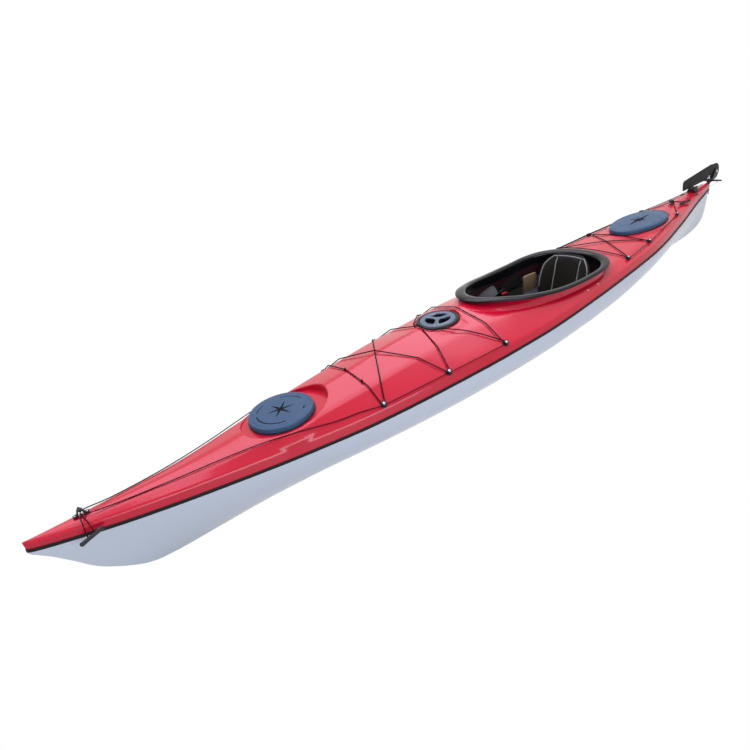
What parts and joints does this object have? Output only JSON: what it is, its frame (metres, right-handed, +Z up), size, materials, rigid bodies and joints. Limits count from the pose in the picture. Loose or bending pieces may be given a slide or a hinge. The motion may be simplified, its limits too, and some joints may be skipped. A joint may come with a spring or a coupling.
{
  "type": "racing kayak",
  "caption": "Long narrow composite kayak with a padded cockpit, sealed hatches, deck cords and a flip-up rudder.",
  "frame": {"origin": "on the floor under the middle of the overall length", "axes": "+X towards the stern, +Y towards starboard, +Z up"},
  "size_m": [4.4482, 0.641, 0.464],
  "materials": {
    "white_gelcoat": "high gloss gelcoat over glass laminate",
    "red_gelcoat": "high gloss gelcoat over glass laminate",
    "black_gelcoat": "gloss gelcoat",
    "black_seam_tape": "satin tape",
    "glass_laminate": "bare glass laminate",
    "hatch_rubber": "matt moulded rubber",
    "black_nylon": "moulded, fine grain",
    "red_plastic": "moulded, satin",
    "seat_fabric": "woven over foam",
    "closed_cell_foam": "skived foam",
    "shock_cord": "braided sheath",
    "anodised_aluminium": "black anodised",
    "stainless_steel": "polished",
    "pod_plastic": "formed sheet"
  },
  "bodies": {
    "boat": {"hull_shell": "white_gelcoat", "deck_shell": "red_gelcoat", "seam_band": "black_seam_tape", "cockpit_coaming": "black_gelcoat", "fore_bulkhead": "glass_laminate", "aft_bulkhead": "glass_laminate", "fore_hatch_rim": "black_nylon", "aft_hatch_rim": "black_nylon", "day_hatch_rim": "black_nylon", "day_hatch_pod": "pod_plastic", "bow_fitting": "black_nylon", "stern_fitting": "black_nylon", "fore_bungee": "shock_cord", "aft_bungee": "shock_cord", "fore_deck_line": "shock_cord", "aft_deck_line": "shock_cord", "rudder_lift_line": "shock_cord", "lift_line_cleat": "black_nylon", "rudder_cable_port": "black_nylon", "rudder_cable_starboard": "black_nylon", "seat_pan": "black_nylon", "seat_cushion": "seat_fabric", "hip_pad_port": "closed_cell_foam", "hip_pad_starboard": "closed_cell_foam", "backrest_strap_port": "black_nylon", "backrest_strap_starboard": "black_nylon", "thigh_brace_port": "black_gelcoat", "thigh_brace_starboard": "black_gelcoat", "foot_rail_port": "anodised_aluminium", "foot_rail_starboard": "anodised_aluminium", "rudder_bracket": "stainless_steel", "rudder_pin": "stainless_steel", "rudder_chock": "black_nylon", "deck_fitting_fore_1_port": "black_nylon", "deck_fitting_fore_1_starboard": "black_nylon", "deck_fitting_fore_2_port": "black_nylon", "deck_fitting_fore_2_starboard": "black_nylon", "deck_fitting_fore_3_port": "black_nylon", "deck_fitting_fore_3_starboard": "black_nylon", "deck_fitting_aft_1_port": "black_nylon", "deck_fitting_aft_1_starboard": "black_nylon", "deck_fitting_aft_2_port": "black_nylon", "deck_fitting_aft_2_starboard": "black_nylon", "deck_fitting_aft_3_port": "black_nylon", "deck_fitting_aft_3_starboard": "black_nylon"},
    "rudder_head": {"rudder_yoke": "black_nylon", "rudder_flip_bolt": "stainless_steel"},
    "rudder_foil": {"rudder_blade": "black_nylon"},
    "pedal_port": {"foot_pedal_port": "black_nylon"},
    "pedal_starboard": {"foot_pedal_starboard": "black_nylon"},
    "wire_port": {"rudder_wire_port": "stainless_steel"},
    "wire_starboard": {"rudder_wire_starboard": "stainless_steel"},
    "back": {"backrest": "seat_fabric"},
    "lever_port": {"ratchet_lever_port": "red_plastic"},
    "lever_starboard": {"ratchet_lever_starboard": "red_plastic"},
    "bow_handle": {"bow_toggle": "black_nylon"},
    "stern_handle": {"stern_toggle": "black_nylon"},
    "fore_lid": {"fore_hatch_lid": "hatch_rubber"},
    "aft_lid": {"aft_hatch_lid": "hatch_rubber"},
    "day_lid": {"day_hatch_lid": "hatch_rubber"}
  },
  "joints": [
    {"name": "rudder_yaw", "type": "hinge", "parent": "boat", "child": "rudder_head", "pos_m": [2.1, 0, 0.36], "axis": [0, 0, 1], "range_deg": [-35, 35]},
    {"name": "rudder_flip", "type": "hinge", "parent": "rudder_head", "child": "rudder_foil", "pos_m": [2.1721, 0, 0.407], "axis": [0, 1, 0], "range_deg": [0, 255]},
    {"name": "pedal_slide_port", "type": "slide", "parent": "boat", "child": "pedal_port", "axis": [1, 0, 0], "range_m": [-0.042, 0.042]},
    {"name": "pedal_slide_starboard", "type": "slide", "parent": "boat", "child": "pedal_starboard", "axis": [1, 0, 0], "range_m": [-0.042, 0.042]},
    {"name": "wire_slide_port", "type": "slide", "parent": "boat", "child": "wire_port", "axis": [0.9899, -0.089, 0.1106], "range_m": [-0.042, 0.042]},
    {"name": "wire_slide_starboard", "type": "slide", "parent": "boat", "child": "wire_starboard", "axis": [0.9899, 0.089, 0.1106], "range_m": [-0.042, 0.042]},
    {"name": "backrest_fold", "type": "hinge", "parent": "boat", "child": "back", "pos_m": [0.497, 0, 0.098], "axis": [0, -1, 0], "range_deg": [0, 30]},
    {"name": "lever_lift_port", "type": "hinge", "parent": "boat", "child": "lever_port", "pos_m": [0.238, -0.1895, 0.22], "axis": [0, 1, 0], "range_deg": [0, 40]},
    {"name": "lever_lift_starboard", "type": "hinge", "parent": "boat", "child": "lever_starboard", "pos_m": [0.238, 0.1895, 0.22], "axis": [0, 1, 0], "range_deg": [0, 40]},
    {"name": "bow_toggle_swing", "type": "hinge", "parent": "boat", "child": "bow_handle", "pos_m": [-2.045, 0, 0.35396], "axis": [0, 1, 0], "range_deg": [-40, 40]},
    {"name": "stern_toggle_lift", "type": "hinge", "parent": "boat", "child": "stern_handle", "pos_m": [1.628, 0, 0.35173], "axis": [0, -1, 0], "range_deg": [0, 90]},
    {"name": "fore_lid_lift", "type": "slide", "parent": "boat", "child": "fore_lid", "axis": [0, 0, 1], "range_m": [0, 0.15]},
    {"name": "aft_lid_lift", "type": "slide", "parent": "boat", "child": "aft_lid", "axis": [0, 0, 1], "range_m": [0, 0.15]},
    {"name": "day_lid_lift", "type": "slide", "parent": "boat", "child": "day_lid", "axis": [0, 0, 1], "range_m": [0, 0.15]}
  ],
  "couplings": [
    {"joint": "pedal_slide_port", "follows": "rudder_yaw", "m_per_rad": 0.066},
    {"joint": "pedal_slide_starboard", "follows": "rudder_yaw", "m_per_rad": -0.066},
    {"joint": "wire_slide_port", "follows": "rudder_yaw", "m_per_rad": 0.066},
    {"joint": "wire_slide_starboard", "follows": "rudder_yaw", "m_per_rad": -0.066}
  ]
}
